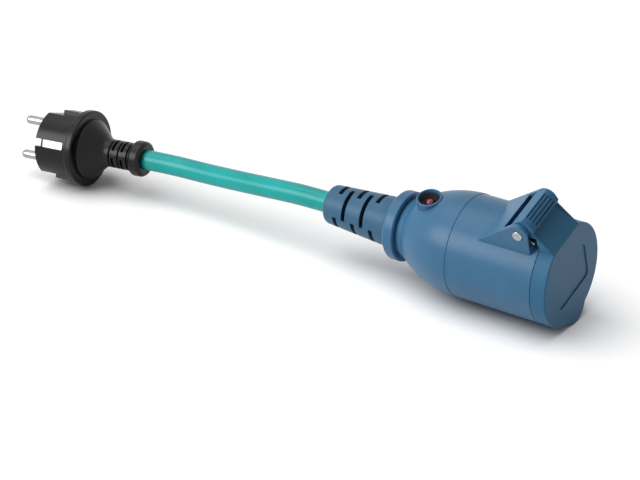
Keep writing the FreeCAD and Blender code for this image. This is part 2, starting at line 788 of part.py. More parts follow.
def lid_spring():
    """Torsion spring round the hinge pin: an unbroken helix with two straight legs."""
    radius = float(spring_mean_radius)
    pitch = float(spring_pitch)
    turns = 3.5
    start_y = float(spring_inset - arm_half)
    steps = int(turns * 4)
    centre = Vector(float(hinge_x), 0, float(hinge_height))
    first_angle = math.radians(-110)

    def coil_point(step):
        angle = first_angle - step * math.pi / 2
        spoke = Vector(math.cos(angle), 0, math.sin(angle)) * radius
        return centre + spoke + Vector(0, start_y + pitch * step / 4, 0)

    def coil_heading(step):
        angle = first_angle - step * math.pi / 2
        along = Vector(math.sin(angle), 0, -math.cos(angle)) * radius
        return (along + Vector(0, pitch / (2 * math.pi), 0)).normalize()

    edges = []
    a = coil_point(0)
    leg = coil_heading(0) * float(spring_leg)
    edges.append(Part.LineSegment(a - leg, a).toShape())
    for step in range(steps):
        a, b = coil_point(step), coil_point(step + 1)
        u, v = coil_heading(step), coil_heading(step + 1)
        chord, both = b - a, u + v
        k = both.dot(both) - 4
        root = math.sqrt(chord.dot(both) ** 2 - k * chord.dot(chord))
        reach = (chord.dot(both) - root) / k
        if reach < 0:
            reach = (chord.dot(both) + root) / k
        near_corner, far_corner = a + u * reach, b - v * reach
        joint = (near_corner + far_corner) * 0.5
        edges.append(corner_arc(a, near_corner, joint))
        edges.append(corner_arc(joint, far_corner, b))
    b = coil_point(steps)
    leg = coil_heading(steps) * float(spring_end_leg)
    edges.append(Part.LineSegment(b, b + leg).toShape())
    samples = [coil_point(i / 8) for i in range(steps * 8 + 1)]
    per_turn = 32
    least = min(
        (samples[i + per_turn + j] - samples[i]).Length
        for i in range(len(samples) - per_turn - 4)
        for j in (-4, -2, 0, 2, 4)
    )
    print(f"lid_spring: least gap between turns {least - float(spring_wire):.2f} mm")
    feature_from("lid_spring", sweep(edges, spring_wire / 2), coupler_frame)


# Contact places: earth below at the keyway, the two power contacts at thirds
contact_back_x = rib_back_x - seat_gap - flange_thickness
contact_angles = {"earth": -90.0, "neutral": 30.0, "line": 150.0}
contact_bores = {"earth": earth_bore, "neutral": power_bore, "line": power_bore}


def contact_place(pole):
    """A contact's centre beside and above the coupler's axis."""
    angle = math.radians(contact_angles[pole])
    return contact_circle * math.cos(angle), contact_circle * math.sin(angle)


plate_x = rib_back_x - seat_gap


def contact_seat(body, pole, back_x, depth):
    """Round seat of one contact tube, bored forward from a station."""
    sketch = new_sketch(body, f"{pole}_seat", "YZ_Plane", back_x)
    radius = contact_bores[pole] + contact_wall + seat_gap
    draw_circle(sketch, *contact_place(pole), radius)
    pocket(body, f"{pole}_seat_hole", sketch, depth, forward=True)


def carrier_third(pole):
    """One pole's third of the moulded contact block, open in front of its tube. The
    earth third carries the hub that centres the other two."""
    body = new_body(f"{pole}_carrier")
    middle = math.radians(contact_angles[pole])
    spare = math.asin(float(seat_gap) / 2 / float(carrier_radius))
    low = middle - math.radians(60) + spare
    high = middle + math.radians(60) - spare
    apex = seat_gap / 2 / math.sin(math.radians(60))
    sketch = new_sketch(body, "third_outline", "YZ_Plane", plate_x)
    corners = [
        (apex * math.cos(middle), apex * math.sin(middle)),
        (carrier_radius * math.cos(low), carrier_radius * math.sin(low)),
        (carrier_radius * math.cos(high), carrier_radius * math.sin(high)),
    ]
    draw_outline(sketch, corners, {1: -carrier_radius})
    pad(body, "block", sketch, -plate_x)
    fillet(body, "face_round", edge_round, ring_edges(body, [(0, carrier_radius)]))
    sketch = new_sketch(body, "hub_circle", "YZ_Plane", plate_x)
    if pole == "earth":
        draw_circle(sketch, 0, 0, carrier_hub)
        pad(body, "hub", sketch, -plate_x)
    else:
        draw_circle(sketch, 0, 0, carrier_hub + seat_gap)
        pocket(body, "hub_hole", sketch, -plate_x, forward=True)
    sketch = new_sketch(body, "entry", "YZ_Plane")
    draw_circle(sketch, *contact_place(pole), contact_bores[pole] + entry_clearance)
    pocket(body, "entry_hole", sketch, contact_set_back)
    contact_seat(body, pole, plate_x, -contact_set_back - plate_x)
    in_coupler(body)


def retaining_plate():
    """Round plate behind the shroud's rib that holds the block and the contacts."""
    body = new_body("retaining_plate")
    sketch = new_sketch(body, "plate_circle", "YZ_Plane", contact_back_x)
    draw_circle(sketch, 0, 0, rear_bore - seat_gap)
    pad(body, "plate", sketch, flange_thickness)
    for pole in contact_angles:
        contact_seat(body, pole, contact_back_x, flange_thickness)
    in_coupler(body)


def contact(pole):
    """Brass contact tube with a bored, screwed terminal behind the carrier."""
    bore = contact_bores[pole]
    outer = bore + contact_wall
    front_x = -contact_set_back - seat_gap
    bore_end_x = front_x - contact_depth
    head_x = contact_back_x - seat_gap
    back_x = head_x - terminal_length
    head = outer + terminal_step
    outline = [
        (front_x - 0.3, bore),
        (front_x, bore + 0.3),
        (front_x, outer),
        (head_x, outer),
        (head_x, head),
        (back_x, head),
        (back_x, core_radius * 0.62),
        (back_x + 7, core_radius * 0.62),
        (back_x + 7, 0),
        (bore_end_x, 0),
        (bore_end_x, bore),
    ]
    body = turned_body(f"{pole}_contact", outline)
    sketch = new_sketch(body, "slit_section", "XZ_Plane")
    draw_box(sketch, front_x - 13, -0.4, front_x + 1, 0.4)
    pocket(body, "slit", sketch, 3 * outer, both_ways=True)
    # Screw hole, drilled from outside down to the wire bore
    angle = contact_angles[pole]
    sketch = new_sketch(body, "screw_circle", "XY_Plane", 0)
    draw_circle(sketch, head_x - terminal_length / 2, 0, screw_radius)
    pocket(body, "screw_hole", sketch, head + 1, forward=True)
    y, z = contact_place(pole)
    spin = FreeCAD.Rotation(Vector(1, 0, 0), angle - 90)
    place = FreeCAD.Placement(Vector(0, float(y), float(z)), spin)
    body.Placement = coupler_frame * place
    doc.recompute()
    parts.append(body)


def machine_screw(name, shank_radius, shank_length, head_radius, head_height):
    """A slotted cheese-head screw along Z, tip at the origin."""
    shank = doc.addObject("Part::Cylinder", f"{name}_shank")
    bind(shank, "Radius", shank_radius)
    bind(shank, "Height", shank_length)
    head = doc.addObject("Part::Cylinder", f"{name}_head")
    bind(head, "Radius", head_radius)
    bind(head, "Height", head_height)
    bind(head, "Placement.Base.z", shank_length)
    joined = doc.addObject("Part::Fuse", f"{name}_blank")
    joined.Base = shank
    joined.Tool = head
    slot = doc.addObject("Part::Box", f"{name}_slot")
    bind(slot, "Length", head_radius * 2 + 1)
    bind(slot, "Width", head_radius * 0.3)
    bind(slot, "Height", head_height)
    bind(slot, "Placement.Base.x", -head_radius - 0.5)
    bind(slot, "Placement.Base.y", -head_radius * 0.15)
    bind(slot, "Placement.Base.z", shank_length + head_height * 0.5)
    cut = doc.addObject("Part::Cut", name)
    cut.Base = joined
    cut.Tool = slot
    return cut


def grouped(name, members, frame):
    """Like fasteners kept together as separate solids of one sub-part."""
    group = doc.addObject("Part::Compound", name)
    group.Label = name
    group.Links = members
    group.Placement = frame
    doc.recompute()
    parts.append(group)


def terminal_screws():
    """Three clamping screws in the coupler's terminals."""
    screws = []
    x = float(contact_back_x - seat_gap - terminal_length / 2)
    for pole, angle in contact_angles.items():
        outer = contact_bores[pole] + contact_wall + terminal_step
        tip = core_radius * 0.58 + seat_gap
        shank = outer - tip + seat_gap / 2
        screw = machine_screw(
            f"{pole}_screw", screw_radius - seat_gap / 2, shank, screw_radius + 0.9, 1.4
        )
        y, z = contact_place(pole)
        spin = FreeCAD.Rotation(Vector(1, 0, 0), angle - 90)
        base = Vector(x, float(y), float(z)) + spin.multVec(Vector(0, 0, float(tip)))
        screw.Placement = FreeCAD.Placement(base, spin)
        screws.append(screw)
    grouped("terminal_screws", screws, coupler_frame)


# Stations of the rear housing and gland
rear_end_x = seam_x - rear_length
rear_end_radius = barrel_radius - rear_narrowing
lamp_x = rear_end_x + lamp_from_end
cup_top = barrel_radius - cup_sink
cup_floor = cup_top - cup_depth
board_height = cup_floor - board_depth
neck_x = rear_end_x - 3.4
thread_end_x = neck_x - gland_thread
nut_end_x = neck_x - 0.4 - nut_length
boot_front_x = nut_end_x - seat_gap
boot_end_x = boot_front_x - boot_length
spigot_x = contact_back_x - seat_gap
jacket_end_x = rear_end_x + 4.5


def rear_housing():
    """Rear half of the shell: a bulb that narrows to the gland thread, with the
    hooded cup of the lamp on its top."""
    seam_radius = barrel_radius + rear_proud
    outline = [
        (spigot_x, 0),
        (spigot_x, rear_bore - seat_gap),
        (seam_x, rear_bore - seat_gap),
        (seam_x, seam_radius - 0.2),
        (seam_x - 0.2, seam_radius),
        (rear_end_x, rear_end_radius),
        (neck_x, neck_radius),
        (neck_x, thread_radius),
        (thread_end_x, thread_radius),
        (thread_end_x, 0),
    ]
    body = turned_body("rear_housing", outline, {4: rear_curve * -1})
    sketch = new_sketch(body, "cup_circle", "XY_Plane", 10)
    draw_circle(sketch, lamp_x, 0, cup_radius)
    pad(body, "cup", sketch, cup_top - 10)
    top = float(cup_top)

    def cup_rim(edge, middle):
        return isinstance(edge.Curve, Part.Circle) and abs(middle.z - top) < 1e-4

    fillet(body, "cup_round", 0.5, edges_near(body, cup_rim))
    sketch = new_sketch(body, "hollow_section", "XY_Plane")
    inner = spigot_wall
    hollow = [
        (spigot_x + 1, 0),
        (spigot_x + 1, rear_bore - inner),
        (rear_end_x + 15.5, rear_bore - inner),
        (rear_end_x + 1, rear_end_radius - 2.5),
        (rear_end_x + 0.5, gland_bore - 1.5),
        (rear_end_x - 0.5, gland_bore - 1.5),
        (rear_end_x - 0.5, gland_bore),
        (thread_end_x - 1, gland_bore),
        (thread_end_x - 1, 0),
    ]
    draw_outline(sketch, hollow)
    groove(body, "hollow", sketch)
    sketch = new_sketch(body, "cup_section", "XZ_Plane", 0, lamp_x)
    cup = [
        (0, cup_top + 1),
        (cup_mouth + 0.25, cup_top + 1),
        (cup_mouth, cup_top - 0.2),
        (cup_mouth - 1.1, cup_floor),
        (lamp_radius + seat_gap, cup_floor),
        (lamp_radius + seat_gap, board_height),
        (0, board_height),
    ]
    draw_outline(sketch, cup)
    groove(body, "cup_hollow", sketch, "V_Axis")
    seal_x = spigot_x - spigot_length / 2
    sketch = new_sketch(body, "seal_groove_section", "XY_Plane")
    draw_box(
        sketch,
        seal_x - seal_section - 0.1,
        rear_bore - seat_gap - 1.9 * seal_section,
        seal_x + seal_section + 0.1,
        rear_bore + 1,
    )
    groove(body, "seal_groove", sketch)
    in_coupler(body)


def housing_seal():
    """Sealing ring in the spigot's groove, at the seam of the two shells."""
    body = new_body("housing_seal")
    sketch = new_sketch(body, "ring_section", "XY_Plane")
    seal_x = spigot_x - spigot_length / 2
    draw_circle(sketch, seal_x, rear_bore - seal_section, seal_section * 0.98)
    turn(body, "ring", sketch)
    in_coupler(body)


def indicator_led():
    """Red lamp: a domed light-emitting diode that looks up through the cup's floor."""
    body = new_body("indicator_led")
    base = board_height + board_thickness + seat_gap
    dome = cup_floor + 0.1
    outline = [
        (0, base),
        (lamp_radius + 0.4, base),
        (lamp_radius + 0.4, base + 0.9),
        (lamp_radius, base + 0.9),
        (lamp_radius, dome),
        (0, dome + lamp_radius),
    ]
    sketch = new_sketch(body, "half_section", "XZ_Plane")
    draw_outline(sketch, outline, {4: lamp_radius * -1})
    turn(body, "turned", sketch, "V_Axis")
    offset = FreeCAD.Placement(Vector(float(lamp_x), 0, 0), FreeCAD.Rotation())
    body.Placement = coupler_frame * offset
    doc.recompute()
    parts.append(body)


board_front_x = lamp_x + 9.6
board_back_x = lamp_x - 1.5


def led_board():
    """Small circuit board under the lamp."""
    body = new_body("led_board")
    sketch = new_sketch(body, "board_outline", "XY_Plane", board_height)
    draw_box(sketch, board_back_x, -4.5, board_front_x, 4.5)
    pad(body, "board", sketch, board_thickness)
    in_coupler(body)


def series_resistor():
    """Dropping resistor that lies on the board in front of the lamp."""
    body = new_body("series_resistor")
    sketch = new_sketch(body, "half_section", "XY_Plane")
    outline = [
        (-3.2, 0),
        (3.2, 0),
        (3.2, 1.2),
        (2.0, 1.2),
        (1.7, 1.0),
        (-1.7, 1.0),
        (-2.0, 1.2),
        (-3.2, 1.2),
    ]
    draw_outline(sketch, outline)
    turn(body, "turned", sketch)
    height = float(board_height + board_thickness + seat_gap) + 1.2
    quarter = FreeCAD.Rotation(Vector(0, 0, 1), 90)
    x = float(lamp_x) + 6.6
    body.Placement = coupler_frame * FreeCAD.Placement(Vector(x, 0, height), quarter)
    doc.recompute()
    parts.append(body)


def led_leads():
    """Two thin wires from the board to the line and neutral terminals."""
    wires = []
    head_x = float(contact_back_x - seat_gap - terminal_length / 2)
    for pole, side in (("neutral", 1), ("line", -1)):
        y, z = contact_place(pole)
        outer = contact_bores[pole] + contact_wall + terminal_step
        board_x = float(board_front_x)
        height = float(board_height + board_thickness / 2)
        start = (board_x + 0.2, side * 2.5, height)
        lift = float(z + outer) + 0.1
        points = [
            start,
            (board_x + 2.2, side * 2.9, height),
            (head_x - 3.6, side * 5.9, height - 1.2),
            (head_x - 2.6, float(y) * 0.92, lift + 2.0),
            (head_x - 2.6, float(y) * 0.97, lift),
        ]
        wires.append(sweep(route_path(points, f"{pole}_lead"), 0.45))
    feature_from("led_leads", Part.makeCompound(wires), coupler_frame)


def gland_nut():
    """Union nut with a rounded shoulder and a tail that carries the boot."""
    front_x = neck_x - 0.4
    outline = [
        (front_x, thread_radius + seat_gap),
        (front_x, nut_radius),
        (nut_end_x, nut_radius),
        (nut_end_x, gland_bore - 0.6),
        (nut_end_x - nut_tail, gland_bore - 0.6),
        (nut_end_x - nut_tail, cable_radius + 0.6),
        (thread_end_x - seat_gap, cable_radius + 0.6),
        (thread_end_x - seat_gap, thread_radius + seat_gap),
    ]
    body = turned_body("gland_nut", outline)
    fillet(body, "front_round", 0.8, ring_edges(body, [(front_x, nut_radius)]))
    fillet(body, "back_round", 1.4, ring_edges(body, [(nut_end_x, nut_radius)]))
    in_coupler(body)


def cable_grommet():
    """Rubber sealing sleeve that the gland squeezes on the cable."""
    front_x = rear_end_x - 0.5 - seat_gap
    ring = tube_points(
        front_x - grommet_length, front_x, cable_radius, gland_bore - seat_gap
    )
    body = turned_body("cable_grommet", ring)
    in_coupler(body)


def clamp_claw():
    """Slotted clamp ring between the grommet and the nut."""
    front_x = rear_end_x - 0.5 - 2 * seat_gap - grommet_length
    ring = tube_points(
        thread_end_x, front_x, cable_radius + seat_gap / 2, gland_bore - seat_gap
    )
    body = turned_body("clamp_claw", ring)
    for number, angle in enumerate((0, 60, 120)):
        sketch = new_sketch(body, f"slit_{number}_section", "YZ_Plane", thread_end_x)
        turn_to = math.radians(angle)
        along = (math.cos(turn_to) * 12, math.sin(turn_to) * 12)
        across = (-math.sin(turn_to) * 0.4, math.cos(turn_to) * 0.4)
        corners = []
        for s, t in ((-1, -1), (1, -1), (1, 1), (-1, 1)):
            corners.append(
                (
                    as_size(s * along[0] + t * across[0]),
                    as_size(s * along[1] + t * across[1]),
                )
            )
        draw_outline(sketch, corners)
        pocket(body, f"slit_{number}", sketch, 2.2, forward=True)
    in_coupler(body)


def slot_ring(body, name, x, width, floor_radius, outer_radius, turn_degrees, half):
    """Two sector slots on opposite sides, cut round a sleeve at one station."""
    sketch = new_sketch(body, f"{name}_section", "YZ_Plane", x)
    for side in (0, 180):
        low = math.radians(turn_degrees + side - half)
        high = math.radians(turn_degrees + side + half)
        corners = [
            (floor_radius * math.cos(low), floor_radius * math.sin(low)),
            (outer_radius * math.cos(low), outer_radius * math.sin(low)),
            (outer_radius * math.cos(high), outer_radius * math.sin(high)),
            (floor_radius * math.cos(high), floor_radius * math.sin(high)),
        ]
        draw_outline(sketch, corners, {1: -outer_radius, 3: floor_radius})
    pocket(body, name, sketch, width)


def bend_boot():
    """Flexible bend relief: a flange ring and a tapered sleeve with five rows of
    slots, each row a quarter turn from the next."""
    ring_x = boot_front_x - boot_ring_width
    outline = [
        (boot_front_x, gland_bore - 0.6 + seat_gap),
        (boot_front_x, boot_ring_radius),
        (ring_x, boot_ring_radius - 0.7),
        (ring_x, boot_front_radius),
        (boot_end_x, boot_rear_radius),
        (boot_end_x, cable_radius + seat_gap),
        (nut_end_x - nut_tail - seat_gap, cable_radius + seat_gap),
        (nut_end_x - nut_tail - seat_gap, gland_bore - 0.6 + seat_gap),
    ]
    body = turned_body("bend_boot", outline)
    rim = [(boot_front_x, boot_ring_radius), (ring_x, boot_ring_radius - 0.7)]
    fillet(body, "ring_round", 0.7, ring_edges(body, rim))
    fillet(body, "end_round", 2.0, ring_edges(body, [(boot_end_x, boot_rear_radius)]))
    for row in range(5):
        x = boot_end_x + boot_slot_start + boot_slot_pitch * row
        above = row % 2 == 0
        row_turn = 180 if above else float(boot_row_turn)
        turn_to = float(boot_turn) - float(coupler_roll) + row_turn
        slot_ring(
            body,
            f"slot_row_{row}",
            x,
            boot_slot_width,
            boot_slot_floor,
            boot_front_radius + 2,
            turn_to,
            float(boot_slot_half) if above else float(boot_row_half),
        )
    in_coupler(body)


def cable_end():
    """Cable jacket inside the gland and boot."""
    tube = tube_points(boot_end_x, jacket_end_x, 0, cable_radius)
    body = turned_body("cable_end", tube)
    in_coupler(body)


core_angles = {"earth": -90.0, "neutral": 30.0, "line": 150.0}


def coupler_core(pole):
    """One insulated core from the jacket's end to its terminal, with a bared tip."""
    angle = math.radians(core_angles[pole])
    y, z = contact_place(pole)
    lay_y = float(core_lay) * math.cos(angle)
    lay_z = float(core_lay) * math.sin(angle)
    start_x = float(jacket_end_x)
    end_x = float(contact_back_x - 2 * seat_gap - terminal_length)
    points = [
        (start_x, lay_y, lay_z),
        (start_x + 4.4, lay_y, lay_z),
        (end_x - 4.6, float(y), float(z)),
        (end_x, float(y), float(z)),
    ]
    tube = sweep(route_path(points, f"{pole}_core"), core_radius)
    tip_start = Vector(end_x, float(y), float(z))
    bared = Part.makeCylinder(
        float(core_radius) * 0.58, 5.5, tip_start, Vector(1, 0, 0)
    )
    feature_from(f"{pole}_core", tube.fuse(bared).removeSplitter(), coupler_frame)


# Cable route from the boot's end, in the row frame and relative to that end
cable_route = [
    (0, 0, 0),
    (-17, 0, 0),
    (-38, 0.4, -1.8),
    (-62, 1.2, -4.0),
    (-86, 1.65, -5.7),
    (-104.2, 0.85, -5.9),
    (-120.3, -1.7, -6.1),
]


def cable():
    """The free stretch of cable between the boot and the plug."""
    end = Vector(float(boot_end_x), 0, 0)
    points = [tuple(end + Vector(*p)) for p in cable_route]
    edges = route_path(points, "cable")
    tube = sweep(edges, cable_radius)
    length = Part.Wire(edges).Length
    print(f"cable: length {length:.1f} mm, volume {tube.Volume:.0f} mm3")
    feature_from("cable", tube, FreeCAD.Placement())


def plug_placement():
    """Frame of the plug: origin at its cable exit, +X towards the coupler."""
    last = Vector(*cable_route[-1])
    before = Vector(*cable_route[-2])
    along = (before - last).normalize()
    yaw = math.degrees(math.atan2(along.y, along.x))
    pitch = math.degrees(math.asin(along.z))
    turn_z = FreeCAD.Rotation(Vector(0, 0, 1), yaw)
    turn_y = FreeCAD.Rotation(Vector(0, 1, 0), -pitch)
    turn_x = FreeCAD.Rotation(Vector(1, 0, 0), -20.6)
    origin = Vector(float(boot_end_x), 0, 0) + last
    return FreeCAD.Placement(origin, turn_z * turn_y * turn_x)


plug_frame = plug_placement()


def in_plug(body, y=0, z=0):
    """Seat a body in the plug."""
    offset = FreeCAD.Placement(Vector(0, float(y), float(z)), FreeCAD.Rotation())
    body.Placement = plug_frame * offset
    doc.recompute()
    parts.append(body)


def from_face(distance):
    """A station in the plug, counted from its front face."""
    return as_size(distance) - plug_length


def plug_body():
    """Rubber body of the plug: flatted front, flange, bell-shaped back and a slotted
    neck with an end ring."""
    flange_x = from_face(plug_front_length + step_width)
    flange_back_x = flange_x + plug_flange_width
    neck_x_plug = from_face(plug_neck_start)
    ring_x = -end_ring_width
    cavity_x = from_face(21)
    outline = [
        (from_face(0), insert_radius),
        (from_face(0), plug_radius),
        (from_face(plug_front_length), plug_radius),
        (from_face(plug_front_length), step_radius),
        (flange_x, step_radius),
        (flange_x, plug_flange_radius),
        (flange_back_x, plug_flange_radius),
        (flange_back_x, shoulder_radius),
        (flange_back_x + shoulder_width, shoulder_radius),
        (neck_x_plug - 1.2, plug_neck_radius),
        (ring_x, plug_neck_radius),
        (ring_x + 0.6, end_ring_radius),
        (0, end_ring_radius - 0.2),
        (0, cable_radius + seat_gap),
        (from_face(33.5), cable_radius + seat_gap),
        (from_face(26), insert_radius - 1.3),
        (cavity_x, insert_radius),
    ]
    body = turned_body("plug_body", outline)
    fillet(
        body,
        "bell_round",
        1.0,
        ring_edges(body, [(flange_back_x + shoulder_width, shoulder_radius)]),
    )
    fillet(
        body,
        "neck_round",
        6.0,
        ring_edges(body, [(neck_x_plug - 1.2, plug_neck_radius)]),
    )
    ring_rims = [(ring_x + 0.6, end_ring_radius)]
    fillet(body, "ring_round", 2.4, ring_edges(body, ring_rims))
    rear_rim = [(0, end_ring_radius - 0.2)]
    fillet(body, "rear_round", 2.2, ring_edges(body, rear_rim))
    flange_rims = [(flange_x, plug_flange_radius), (flange_back_x, plug_flange_radius)]
    fillet(body, "flange_round", 1.0, ring_edges(body, flange_rims))
    fillet(body, "face_round", 0.5, ring_edges(body, [(from_face(0), plug_radius)]))
    for name, way in (("top", 1), ("bottom", -1)):
        sketch = new_sketch(body, f"{name}_flat_section", "YZ_Plane", from_face(0) - 1)
        draw_box(sketch, -15, way * plug_flat, 15, way * (plug_radius + 2))
        pocket(body, f"{name}_flat", sketch, plug_front_length + 1, forward=True)
        sketch = new_sketch(body, f"{name}_rail_section", "YZ_Plane", from_face(rail_start))
        top = way * (plug_radius + rail_proud)
        draw_box(sketch, -rail_width / 2, way * (plug_flat - 1), rail_width / 2, top)
        pad(body, f"{name}_rail", sketch, plug_front_length - rail_start)
    for name, way in (("near", -1), ("far", 1)):
        wide = clip_width / 2 + seat_gap
        sketch = new_sketch(body, f"{name}_slot_section", "YZ_Plane", from_face(0) - 1)
        draw_box(sketch, way * (insert_radius + 1.2), -wide, way * (plug_radius + 2), wide)
        pocket(body, f"{name}_slot", sketch, plug_front_length + 1, forward=True)
        sketch = new_sketch(body, f"{name}_notch_section", "YZ_Plane", from_face(0) - 1)
        draw_box(sketch, way * (insert_radius - 1), -wide, way * (plug_radius + 2), wide)
        pocket(body, f"{name}_notch", sketch, notch_length + 1, forward=True)
        window_x = from_face(clip_front - 3 * seat_gap)
        sketch = new_sketch(body, f"{name}_window_section", "YZ_Plane", window_x)
        draw_box(sketch, way * (insert_radius - 1), -wide, way * (plug_radius + 2), wide)
        pocket(body, f"{name}_window", sketch, clip_thickness + 1.3, forward=True)
    for row in range(5):
        wide_row = row % 2 == 1
        width = plug_slot_width if wide_row else plug_slot_width * 0.6
        slot_ring(
            body,
            f"slot_row_{row}",
            ring_x - 0.2 - plug_slot_pitch * row - width / 2,
            width,
            cable_radius + 0.5,
            plug_neck_radius + 3,
            90 if wide_row else 0,
            float(plug_slot_half) if wide_row else float(plug_thin_half),
        )
    in_plug(body)


def plug_insert():
    """Hard moulded insert that carries the plug's pins and earth parts."""
    front_x = from_face(0.6)
    back_x = front_x + insert_length
    outline = tube_points(front_x, back_x, 0, insert_radius - seat_gap)
    body = turned_body("plug_insert", outline)
    collar_x = from_face(pin_collar_back) - seat_gap / 2
    for name, depth, radius in (
        ("pin_holes", insert_length, plug_pin_radius),
        ("collar_holes", back_x - collar_x, pin_collar_radius),
    ):
        sketch = new_sketch(body, f"{name}_section", "YZ_Plane", back_x)
        for way in (1, -1):
            draw_circle(sketch, 0, way * pin_spacing / 2, radius + seat_gap / 2)
        pocket(body, name, sketch, depth)
    sketch = new_sketch(body, "socket_hole_section", "YZ_Plane", back_x)
    draw_circle(sketch, 10, 0, plug_pin_radius + 0.65)
    pocket(body, "socket_hole", sketch, insert_length)
    for name, way in (("near", -1), ("far", 1)):
        wide = clip_width / 2 + seat_gap
        sketch = new_sketch(body, f"{name}_groove_section", "YZ_Plane", back_x)
        low = clip_seat_radius - clip_thickness - 2 * seat_gap
        draw_box(sketch, way * low, -wide, way * (insert_radius + 2), wide)
        pocket(body, f"{name}_groove", sketch, insert_length)
    in_plug(body)


def plug_pin(pole, way):
    """Solid round plug pin with a domed tip, a neck and collar in the insert, and a
    bored terminal end."""
    tip_x = from_face(-plug_pin_length)
    collar_x = from_face(pin_collar_back)
    back_x = from_face(0.6) + insert_length + 0.2
    end_x = back_x + 5.6
    outline = [
        (tip_x, 0),
        (tip_x + plug_pin_radius, plug_pin_radius),
        (from_face(0), plug_pin_radius),
        (from_face(0), pin_neck_radius),
        (collar_x, pin_neck_radius),
        (collar_x, pin_collar_radius),
        (end_x, pin_collar_radius),
        (end_x, core_radius * 0.62),
        (end_x - 4.5, core_radius * 0.62),
        (end_x - 4.5, 0),
    ]
    body = turned_body(f"{pole}_pin", outline, {0: plug_pin_radius * 1})
    sketch = new_sketch(body, "screw_circle", "XY_Plane", 0)
    draw_circle(sketch, end_x - 2.6, 0, screw_radius - 0.25)
    reverse = way > 0
    pocket(body, "screw_hole", sketch, pin_collar_radius + 2, forward=reverse)
    in_plug(body, 0, way * pin_spacing / 2)


def plug_screws():
    """Two clamping screws in the ends of the plug's pins."""
    screws = []
    end_x = float(from_face(0.6) + insert_length + 0.2 + 5.6)
    for pole, way in (("line", 1), ("neutral", -1)):
        screw = machine_screw(
            f"{pole}_plug_screw",
            screw_radius - 0.25 - seat_gap / 2,
            pin_collar_radius - 0.5,
            screw_radius + 0.5,
            1.0,
        )
        spin = FreeCAD.Rotation(Vector(1, 0, 0), 0 if way > 0 else 180)
        z = way * (float(pin_spacing) / 2 + 0.7)
        screw.Placement = FreeCAD.Placement(Vector(end_x - 2.6, 0, z), spin)
        screws.append(screw)
    grouped("plug_screws", screws, plug_frame)


def earth_clips():
    """Two bent strips that touch the socket's side springs, one on each side."""
    clips = []
    for name, way in (("near", -1), ("far", 1)):
        body = new_body(f"{name}_clip")
        sketch = new_sketch(body, "strip_side", "XY_Plane")
        top = clip_height
        under = clip_height - clip_thickness
        leg_top = clip_seat_radius - seat_gap
        leg_low = leg_top - clip_thickness
        front_x = from_face(clip_front)
        inside_x = front_x + clip_thickness
        back_x = from_face(plug_front_length - seat_gap)
        leg_end_x = from_face(0.6) + insert_length + 0.1
        strip = [
            (front_x, way * (top - 1.2)),
            (front_x + 1.2, way * top),
            (back_x, way * top),
            (back_x, way * under),
            (inside_x + 0.8, way * under),
            (inside_x, way * (under - 0.8)),
            (inside_x, way * leg_top),
            (leg_end_x, way * leg_top),
            (leg_end_x, way * leg_low),
            (front_x, way * leg_low),
        ]
        draw_outline(sketch, strip)
        pad(body, "strip", sketch, clip_width, both_ways=True)
        clips.append(body)
    grouped("earth_clips", clips, plug_frame)


def earth_bridge():
    """Brass bridge behind the insert that joins both clips and the earth socket."""
    body = new_body("earth_bridge")
    x = from_face(0.6) + insert_length + 0.2
    sketch = new_sketch(body, "bridge_section", "YZ_Plane", x)
    reach = insert_radius - 2 * seat_gap - 0.3
    draw_box(sketch, -reach, -clip_width / 2, reach, clip_width / 2)
    pad(body, "bridge", sketch, 1.0)
    in_plug(body)


def earth_socket():
    """Brass tube in the insert for the earth pin of a socket that has one."""
    front_x = from_face(2.0)
    back_x = from_face(0.6) + insert_length + 0.1
    outline = tube_points(front_x, back_x, plug_pin_radius + 0.05, plug_pin_radius + 0.6)
    body = turned_body("earth_socket", outline)
    in_plug(body, 10, 0)


def plug_cable_end():
    """Cable jacket inside the plug."""
    tube = tube_points(from_face(33.2), 0, 0, cable_radius)
    in_plug(turned_body("plug_cable_end", tube))


def plug_core(pole, ends):
    """One insulated core inside the plug, from the jacket's end to its terminal."""
    angle = math.radians({"line": 90, "neutral": -90, "earth": 0}[pole])
    lay_y = float(core_lay) * math.cos(angle)
    lay_z = float(core_lay) * math.sin(angle)
    start_x = float(from_face(33.2))
    end_x, end_y, end_z = ends
    points = [
        (start_x, lay_y, lay_z),
        (start_x - 1.9, lay_y, lay_z),
        (end_x + 1.9, end_y, end_z),
        (end_x, end_y, end_z),
    ]
    tube = sweep(route_path(points, f"plug_{pole}_core"), core_radius * 0.8)
    feature_from(f"plug_{pole}_core", tube, plug_frame)


front_housing()
rear_housing()
lid()
lid_gasket()
hinge_pin()
lid_spring()
retaining_plate()
for pole_name in contact_angles:
    carrier_third(pole_name)
    contact(pole_name)
    coupler_core(pole_name)
terminal_screws()
housing_seal()
indicator_led()
led_board()
series_resistor()
led_leads()
gland_nut()
cable_grommet()
clamp_claw()
bend_boot()
cable_end()
cable()
plug_body()
plug_insert()
plug_pin("line", 1)
plug_pin("neutral", -1)
plug_screws()
earth_clips()
earth_bridge()
earth_socket()
plug_cable_end()
terminal_end_x = float(from_face(0.6) + insert_length + 0.2 + 5.7)
bridge_back_x = float(from_face(0.6) + insert_length + 1.3)
plug_core("line", (terminal_end_x, 0, float(pin_spacing) / 2))
plug_core("neutral", (terminal_end_x, 0, -float(pin_spacing) / 2))
plug_core("earth", (bridge_back_x, 4.5, 0))

doc.recompute()
for thing in doc.Objects:
    if "Invalid" in thing.State or "Error" in thing.State:
        raise RuntimeError(f"{thing.Label} failed: {thing.State}")
for thing in parts:
    if thing.Shape.isNull() or not thing.Shape.isValid():
        raise RuntimeError(f"{thing.Label} has no valid shape")

os.makedirs("parts", exist_ok=True)
for thing in parts:
    thing.Shape.exportStep(f"parts/{thing.Label}.step")
print(f"{len(parts)} sub-parts written")
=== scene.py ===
import math

import bpy
from mathutils import Matrix, Vector


